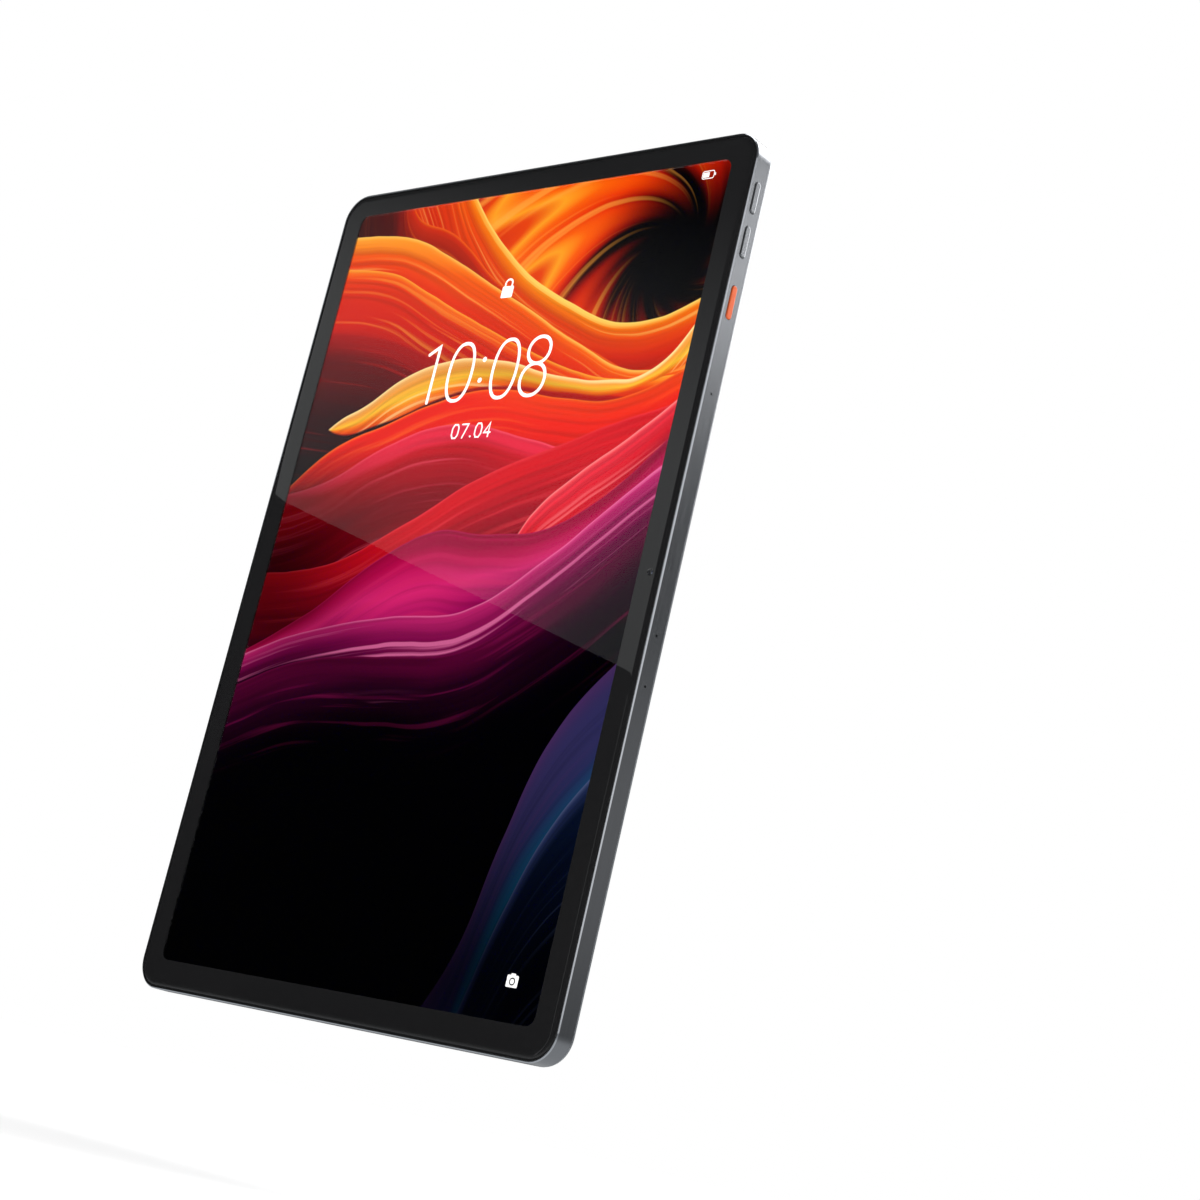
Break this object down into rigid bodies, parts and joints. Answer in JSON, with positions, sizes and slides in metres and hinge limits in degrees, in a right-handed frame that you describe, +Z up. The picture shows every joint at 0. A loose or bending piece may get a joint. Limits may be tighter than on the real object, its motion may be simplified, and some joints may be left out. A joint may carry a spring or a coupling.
{
  "type": "tablet computer",
  "caption": "Slim portrait tablet: glass-fronted display in a metal side frame, rear cover with a ribbed band and camera island, press keys and a pull-out card tray.",
  "frame": {"origin": "centre of the flat rear face of the rear cover", "axes": "+Z up along the long side with the camera island at the upper end, +X right seen from the front, +Y out of the rear face; the screen faces -Y"},
  "size_m": [0.1667, 0.0085, 0.2557],
  "materials": {
    "glass_black": "polished",
    "black_print": "gloss",
    "black_plastic": "matte",
    "clear_film": "clear",
    "display": "gloss",
    "white_film": "satin",
    "steel": "satin",
    "anodised": "anodised satin",
    "plate": "machined",
    "cover": "satin",
    "panel": "gloss",
    "chrome": "polished",
    "orange": "anodised orange",
    "copper_flex": "film",
    "pcb": "solder mask",
    "foil": "foil",
    "lens": "coated",
    "led": "phosphor",
    "seal_red": "soft"
  },
  "bodies": {
    "chassis": {"cover_glass": "glass_black", "glass_seal": "black_plastic", "border_print": "black_print", "perimeter_tape": "black_plastic", "bonding_sheet": "clear_film", "display_panel": "display", "film_stack": "white_film", "light_guide": "clear_film", "led_bar": "led", "backlight_pan": "plate", "side_frame": "anodised", "mid_plate": "plate", "rear_cover": "cover", "key_domes": "steel", "key_strips": "copper_flex", "key_brackets": "steel", "island_bezel": "anodised", "island_panel": "panel", "lens_ring": "anodised", "lens_bevel": "black_print", "lens_window": "lens", "lens_mask": "black_plastic", "rear_camera_housing": "steel", "rear_camera_board": "pcb", "rear_camera_flex": "copper_flex", "flash_trim": "chrome", "flash_disc": "panel", "flash_lens": "clear_film", "flash_led": "led", "flash_board": "pcb", "front_camera": "black_plastic", "front_camera_lens": "lens", "battery_cell_left": "foil", "battery_cell_right": "foil", "battery_board": "pcb", "battery_tape": "black_plastic", "battery_flex": "copper_flex", "main_board": "pcb", "shield_cans": "steel", "board_plugs": "black_plastic", "display_flex": "copper_flex", "link_flex": "copper_flex", "sub_board": "pcb", "port_shell": "steel", "port_tongue": "black_plastic", "speaker_modules": "black_plastic", "speaker_meshes": "steel", "microphones": "steel", "antenna_carriers": "black_plastic", "card_socket": "steel", "board_screws": "steel"},
    "volume_up": {"volume_up_key": "anodised"},
    "volume_down": {"volume_down_key": "anodised"},
    "smart": {"smart_key": "orange"},
    "power": {"power_key": "anodised"},
    "card_tray": {"tray_carrier": "steel", "tray_cap": "anodised", "tray_seal": "seal_red"},
    "focus_lens": {"lens_barrel": "black_plastic", "barrel_lens": "lens"}
  },
  "joints": [
    {"name": "volume_up_press", "type": "slide", "parent": "chassis", "child": "volume_up", "axis": [-1, 0, 0], "range_m": [0, 0.0003], "stiffness_N_per_m": 1500, "springref_m": -0.0006},
    {"name": "volume_down_press", "type": "slide", "parent": "chassis", "child": "volume_down", "axis": [-1, 0, 0], "range_m": [0, 0.0003], "stiffness_N_per_m": 1500, "springref_m": -0.0006},
    {"name": "smart_press", "type": "slide", "parent": "chassis", "child": "smart", "axis": [-1, 0, 0], "range_m": [0, 0.0003], "stiffness_N_per_m": 1500, "springref_m": -0.0006},
    {"name": "power_press", "type": "slide", "parent": "chassis", "child": "power", "axis": [0, 0, -1], "range_m": [0, 0.0003], "stiffness_N_per_m": 1500, "springref_m": -0.0006},
    {"name": "tray_pull", "type": "slide", "parent": "chassis", "child": "card_tray", "axis": [-1, 0, 0], "range_m": [0, 0.025]},
    {"name": "focus_travel", "type": "slide", "parent": "chassis", "child": "focus_lens", "axis": [0, 1, 0], "range_m": [0, 0.00025], "stiffness_N_per_m": 30, "springref_m": -0.0003}
  ]
}
